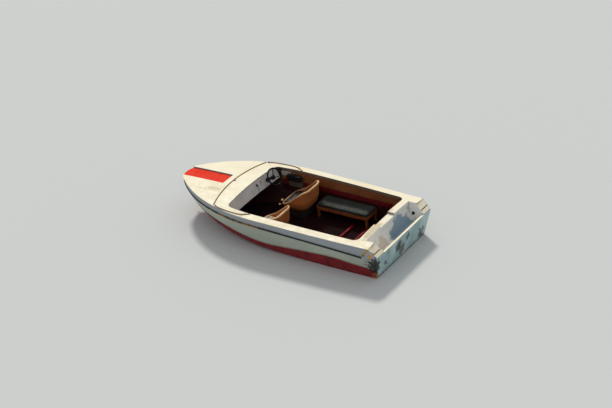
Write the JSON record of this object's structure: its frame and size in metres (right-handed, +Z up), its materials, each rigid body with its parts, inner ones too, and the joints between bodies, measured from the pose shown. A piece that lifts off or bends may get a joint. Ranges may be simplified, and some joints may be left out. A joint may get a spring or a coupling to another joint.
{
  "type": "open outboard runabout boat",
  "caption": "Small open runabout with a raked bow, foredeck, tub seats, side bench, steering wheel and a stern splash well for an outboard motor.",
  "frame": {"origin": "on the waterline and the centreline, amidships, half of the length from the transom's top edge", "axes": "+X towards the bow, +Y to port, +Z up from the water"},
  "size_m": [4.3502, 1.8956, 0.9953],
  "materials": {
    "hull_gelcoat": "weathered satin gelcoat",
    "deck_gelcoat": "weathered satin gelcoat",
    "stripe_red": "faded satin paint",
    "bottom_paint": "matt bottom paint",
    "core_wood": "sealed plywood",
    "black_rubber": "weathered rubber",
    "gold_trim": "tarnished",
    "brown_trim": "satin",
    "black_fitting": "satin",
    "seam_trim": "satin",
    "fitting_metal": "worn chrome",
    "plug_brass": "tarnished",
    "pad_wood": "stained",
    "control_grey": "worn satin",
    "dash_grey": "matt leathercloth",
    "wheel_black": "worn gloss",
    "carpet_maroon": "worn carpet",
    "rail_red": "painted, worn",
    "tan_vinyl": "worn vinyl",
    "maroon_vinyl": "worn vinyl",
    "tan_shell": "satin moulding",
    "cream_bead": "worn satin",
    "dark_vinyl": "worn vinyl",
    "cream_vinyl": "blotched vinyl",
    "orange_wood": "varnished",
    "grey_vinyl": "worn vinyl",
    "blue_vinyl": "worn vinyl"
  },
  "bodies": {
    "boat": {"hull_shell": "hull_gelcoat", "deck_moulding": "deck_gelcoat", "stripe_panel": "stripe_red", "splash_well": "deck_gelcoat", "transom_board": "core_wood", "transom_cap": "deck_gelcoat", "keel_strip": "bottom_paint", "strakes": "bottom_paint", "windscreen_trim": "brown_trim", "windscreen_sockets": "black_fitting", "deck_seams": "seam_trim", "bow_eye": "fitting_metal", "drain_plug": "plug_brass", "transom_pad_outer": "hull_gelcoat", "transom_pad_inner": "pad_wood", "well_gland": "black_rubber", "dash_panel": "dash_grey", "dash_switch": "black_fitting", "dash_lock": "gold_trim", "coaming_catch": "black_fitting", "steering_column": "black_fitting", "control_bracket": "control_grey", "control_box": "black_fitting", "control_lever": "black_fitting", "cockpit_floor": "carpet_maroon", "aft_bulkhead": "carpet_maroon", "fore_bulkhead": "carpet_maroon", "floor_rail_aft": "rail_red", "floor_rail_fore": "rail_red", "quarter_cap_port": "deck_gelcoat", "quarter_cap_starboard": "deck_gelcoat", "rub_strip_port": "black_rubber", "rub_strip_starboard": "black_rubber", "end_trim_port": "gold_trim", "end_trim_starboard": "gold_trim", "stern_eye_port": "fitting_metal", "stern_eye_starboard": "fitting_metal", "lining_upper_port": "tan_vinyl", "lining_upper_starboard": "tan_vinyl", "lining_lower_port": "maroon_vinyl", "lining_lower_starboard": "maroon_vinyl", "passenger_seat_shell": "tan_shell", "passenger_seat_bead": "cream_bead", "passenger_seat_cushion": "cream_vinyl", "passenger_seat_back_pad": "cream_vinyl", "passenger_seat_plinth": "core_wood", "helm_seat_shell": "tan_shell", "helm_seat_bead": "cream_bead", "helm_seat_cushion": "dark_vinyl", "helm_seat_back_pad": "dark_vinyl", "helm_seat_plinth": "core_wood", "bench_frame": "orange_wood", "bench_cushion": "grey_vinyl", "stern_backrest": "blue_vinyl"},
    "wheel": {"steering_wheel": "wheel_black"}
  },
  "joints": [
    {"name": "steering", "type": "hinge", "parent": "boat", "child": "wheel", "pos_m": [0.57, -0.4, 0.675], "axis": [-0.8259, 0.1456, 0.5446], "range_deg": [-540, 540]}
  ]
}
